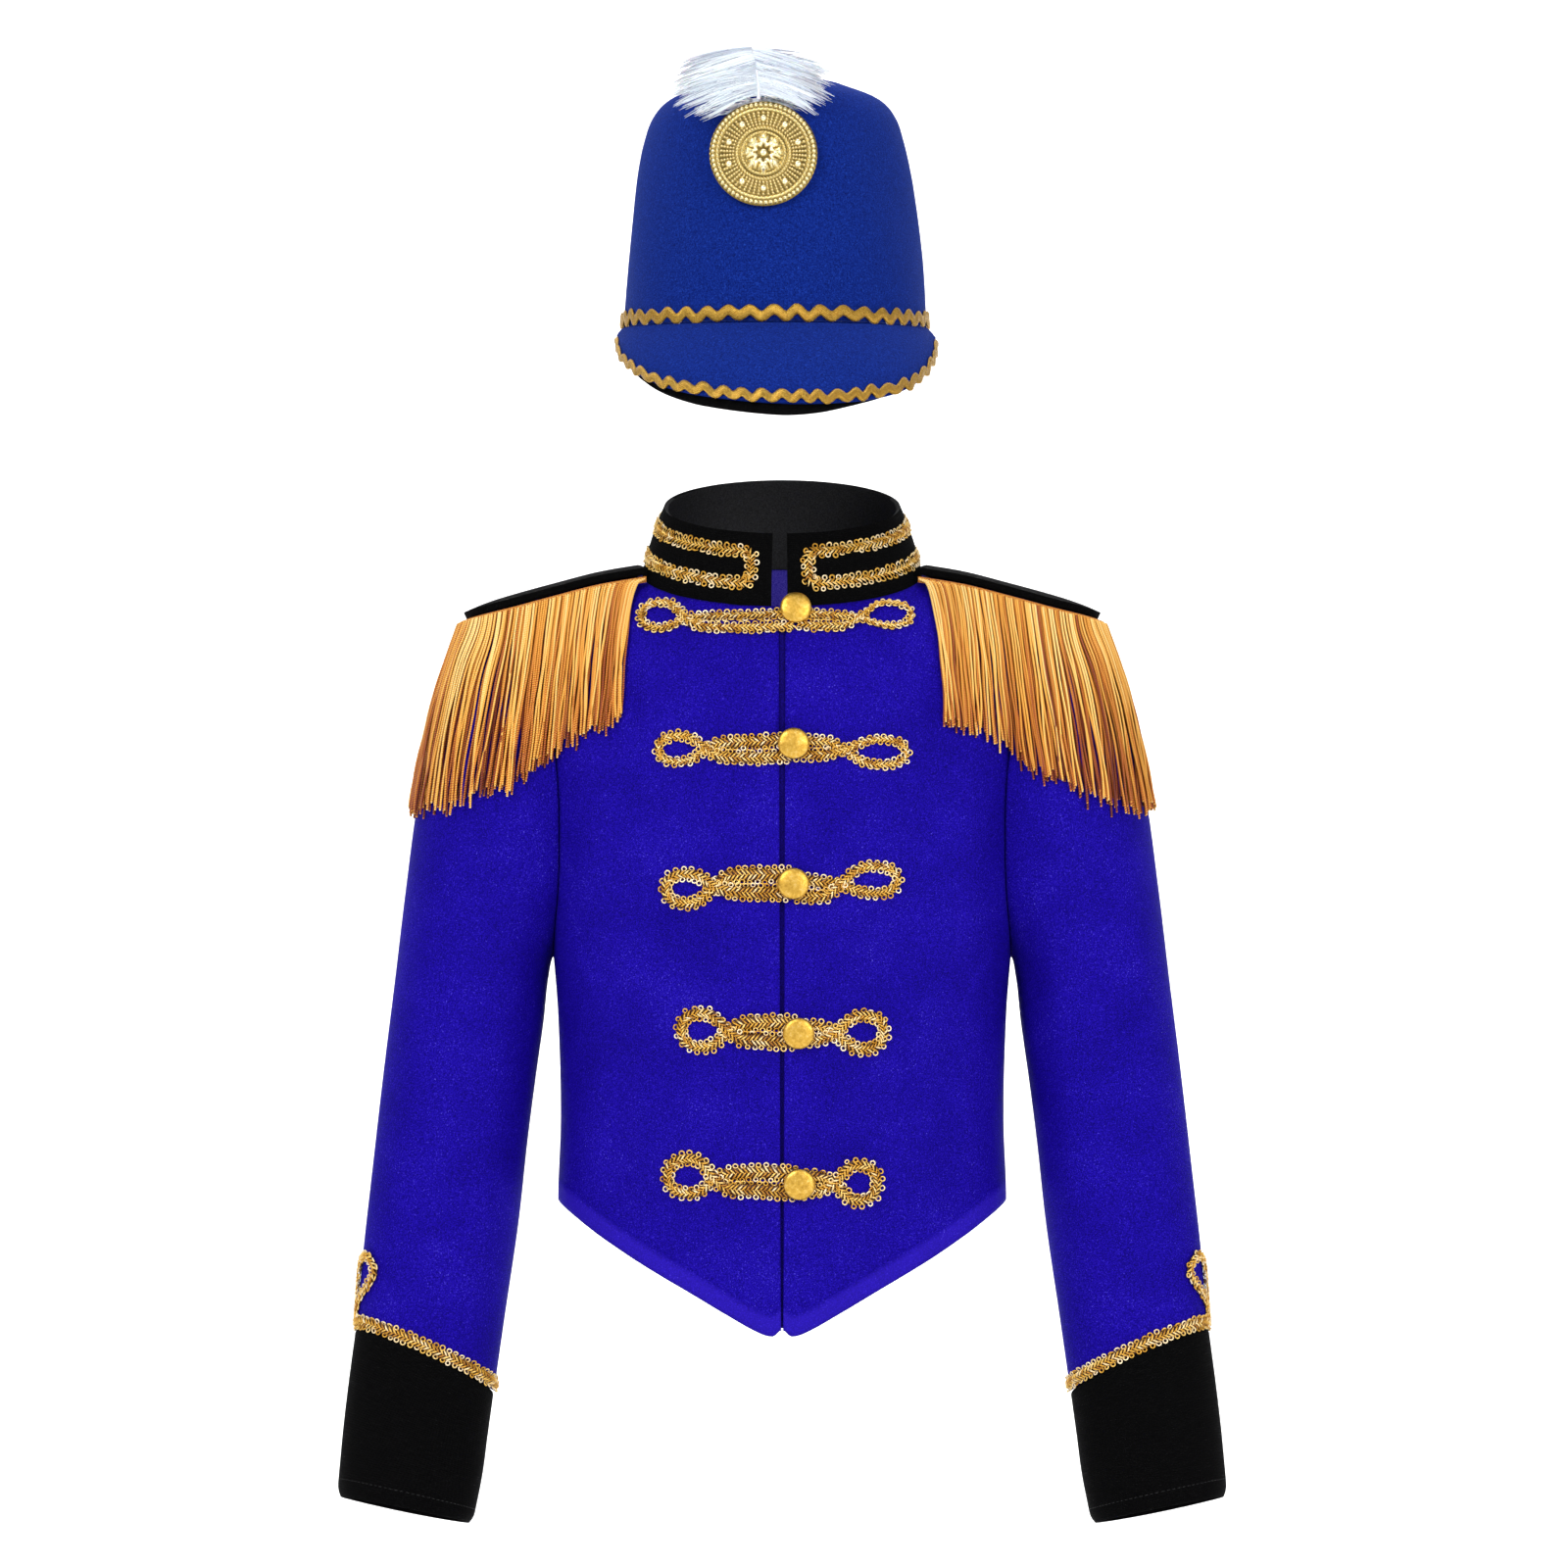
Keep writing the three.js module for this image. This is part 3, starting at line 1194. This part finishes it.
// A point of the visor: share 0 is at the crown, 1 at its edge, and over 1 past it.
function visorPoint(degrees, share, rise = 0) {
  const turn = (degrees * Math.PI) / 180;
  const root = crownPoint(turn, hatLow(turn), 0.6);
  const edge = new THREE.Vector3(
    HAT_X + read(VISOR_EDGE, "turn", "x", degrees),
    -read(VISOR_EDGE, "turn", "y", degrees),
    read(VISOR_EDGE, "turn", "z", degrees),
  );
  root.z -= 0.45;
  const p = root.lerp(edge, share);
  const belly = Math.sin(Math.PI * Math.min(1, share)) * VISOR_DIP * Math.cos(turn);
  const way = new THREE.Vector3(Math.sin(turn), -Math.cos(turn), 0);
  p.addScaledVector(way, belly * 0.8 + rise * 0.62);
  p.z += belly * 0.5 + rise * 0.72;
  return p;
}

function visorTurns(reach) {
  const turns = [];
  for (let i = 0; i <= VISOR_COLS; i += 1) {
    turns.push(lerp(-reach, reach, i / VISOR_COLS));
  }
  return turns;
}

function makeVisor() {
  const grid = [];
  for (let r = 0; r <= VISOR_ROWS; r += 1) {
    grid.push(visorTurns(88).map((turn) => visorPoint(turn, lerp(0.02, 1, r / VISOR_ROWS))));
  }
  return clothWall("hat_visor", grid, { thick: FELT, colour: COLOURS.felt, rough: 0.9, inward: -1 });
}

function makeVisorUnder() {
  const grid = [];
  const rows = VISOR_ROWS - 1;
  for (let r = 0; r <= rows; r += 1) {
    grid.push(visorTurns(86).map((turn) => {
      const past = (RIM_OUT * Math.cos((turn * Math.PI) / 180)) / 60;
      return visorPoint(turn, lerp(0.06, 1 + past, r / rows));
    }));
  }
  return clothWall("hat_visor_under", grid, {
    thick: UNDER_THICK,
    colour: COLOURS.velvet,
    rough: 0.9,
    inward: -1,
    rise: -(FELT + SEAM + 0.5),
  });
}

// A zigzag ribbon whose middle line sways across a surface.
function rickrack(name, steps, closed, point) {
  const low = [];
  const high = [];
  for (let i = 0; i < steps; i += 1) {
    const sway = (i % 2 ? 1 : -1) * RICKRACK_WAVE;
    low.push(point(i / (closed ? steps : steps - 1), sway - RICKRACK_HALF));
    high.push(point(i / (closed ? steps : steps - 1), sway + RICKRACK_HALF));
  }
  return { name, grid: [low, high] };
}

function makeHatBand() {
  const { name, grid } = rickrack("hat_rickrack_band", 2 * BAND_WAVES, true, (share, off) => (
    crownPoint(2 * Math.PI * share, hatLow(2 * Math.PI * share) + BAND_UP + off)));
  return clothWall(name, grid, {
    thick: RICKRACK_THICK,
    colour: COLOURS.rickrack,
    rough: 0.5,
    metal: 0.5,
    closed: true,
    rise: RICKRACK_THICK + LIFT + 0.3,
  });
}

function makeVisorBraid() {
  const { name, grid } = rickrack("hat_rickrack_edge", 2 * EDGE_WAVES + 1, false, (share, off) => {
    const turn = lerp(-84, 84, share);
    const slope = lerp(20, 60, Math.cos((turn * Math.PI) / 180));
    return visorPoint(turn, 1 - (4.2 - off) / slope);
  });
  return clothWall(name, grid, {
    thick: RICKRACK_THICK,
    colour: COLOURS.rickrack,
    rough: 0.5,
    metal: 0.5,
    inward: -1,
    rise: RICKRACK_THICK + LIFT,
  });
}

// The pressed metal badge: rings of height with raised knobs and a lobed middle.
function makeBadge() {
  const points = [new THREE.Vector3(0, 0, 1.4), new THREE.Vector3(0, 0, 0)];
  const faces = [];
  BADGE_RINGS.forEach((ring) => {
    for (let k = 0; k < BADGE_SECTORS; k += 1) {
      const a = (2 * Math.PI * k) / BADGE_SECTORS;
      const boss = ring.boss * Math.max(0, Math.cos(BADGE_BOSSES * a));
      const lobe = ring.lobe * Math.cos(BADGE_LOBES * a);
      points.push(new THREE.Vector3((ring.r + lobe) * Math.cos(a), (ring.r + lobe) * Math.sin(a),
        ring.h + boss));
    }
  });
  const back = points.length;
  for (let k = 0; k < BADGE_SECTORS; k += 1) {
    const a = (2 * Math.PI * k) / BADGE_SECTORS;
    points.push(new THREE.Vector3(27 * Math.cos(a), 27 * Math.sin(a), 0));
  }
  const lastRing = 2 + (BADGE_RINGS.length - 1) * BADGE_SECTORS;
  for (let k = 0; k < BADGE_SECTORS; k += 1) {
    const n = (k + 1) % BADGE_SECTORS;
    faces.push([0, 2 + k, 2 + n]);
    for (let r = 0; r < BADGE_RINGS.length - 1; r += 1) {
      const a = 2 + r * BADGE_SECTORS;
      faces.push([a + k, a + BADGE_SECTORS + k, a + BADGE_SECTORS + n]);
      faces.push([a + k, a + BADGE_SECTORS + n, a + n]);
    }
    faces.push([lastRing + k, back + k, back + n], [lastRing + k, back + n, lastRing + n]);
    faces.push([1, back + n, back + k]);
  }
  const mesh = meshFrom("hat_badge", points, faces, COLOURS.badge, 0.3, 1);
  const turn = Math.asin((BADGE_X - HAT_X) / read(HAT, "z", "half", BADGE_Z));
  const seat = crownPoint(turn, BADGE_Z, 0.5);
  const slope = crownPoint(turn, BADGE_Z + 12).sub(crownPoint(turn, BADGE_Z - 12));
  const tilt = Math.atan2(slope.y, slope.z);
  mesh.position.copy(seat);
  mesh.rotation.set(Math.PI / 2 - tilt, 0, 0);
  return mesh;
}

// The plume: a quill and open locks that sweep from it, fused at their roots.
function makeFeather() {
  const quillLine = QUILL.map((q) => new THREE.Vector3(q.x, q.y, q.z));
  let solid = strand(quillLine, 1.6, 0.6);
  const rows = QUILL.map((q, i) => ({ ...q, i }));
  const most = QUILL.length - 1;
  const offFace = (p, off) => {
    const turn = Math.asin((p.x - HAT_X) / read(HAT, "z", "half", Math.min(p.z, 262)));
    p.y = Math.min(p.y, crownPoint(turn, Math.min(p.z, 262)).y - off);
  };
  for (const way of ["left", "right"]) {
    for (let n = 0; n < LOCKS_A_SIDE; n += 1) {
      const share = (n + 0.5) / LOCKS_A_SIDE;
      const at = share * most * 0.97;
      const root = new THREE.Vector3(
        read(rows, "i", "x", at), read(rows, "i", "y", at), read(rows, "i", "z", at));
      const end = new THREE.Vector3(
        read(LOCK_ENDS, "at", way + "X", share), root.y, read(LOCK_ENDS, "at", way + "Z", share));
      end.x = lerp(end.x, root.x, 0.22 * scatter(n + (way === "left" ? 0 : 31)));
      const mid = root.clone().lerp(end, 0.5);
      mid.z += 3.2;
      offFace(mid, 3.4);
      offFace(end, 2.6);
      solid = solid.add(strand([root, mid, end], LOCK_RADIUS, 0.35));
    }
  }
  return meshOfSolid("hat_feather", solid, COLOURS.feather, 0.9, 0);
}

const group = new THREE.Group();
group.add(makeFront("front_left", -1));
group.add(makeFront("front_right", 1));
group.add(makePlacket());
group.add(makeBack());
for (const [side, mirror] of [["left", -1], ["right", 1]]) {
  group.add(makeSleeve("sleeve_" + side, mirror));
  group.add(makeCuff("cuff_" + side, mirror));
  group.add(makeCuffBraid("cuff_braid_" + side, mirror));
  group.add(makeCuffLoop("cuff_loop_" + side, mirror));
  group.add(makeBoard("epaulette_" + side, mirror));
}
makeFringes().forEach((mesh) => group.add(mesh));
group.add(makeCollar());
group.add(makeCollarBraid());
CLOSURES.forEach((f) => group.add(makeFrog(f)));
CLOSURES.filter((f) => f.name.endsWith("left")).forEach((f, i) => group.add(makeButton(f, i + 1)));
group.add(makeCrown());
group.add(makeVisor());
group.add(makeVisorUnder());
group.add(makeHatBand());
group.add(makeVisorBraid());
group.add(makeBadge());
group.add(makeFeather());

export default group;
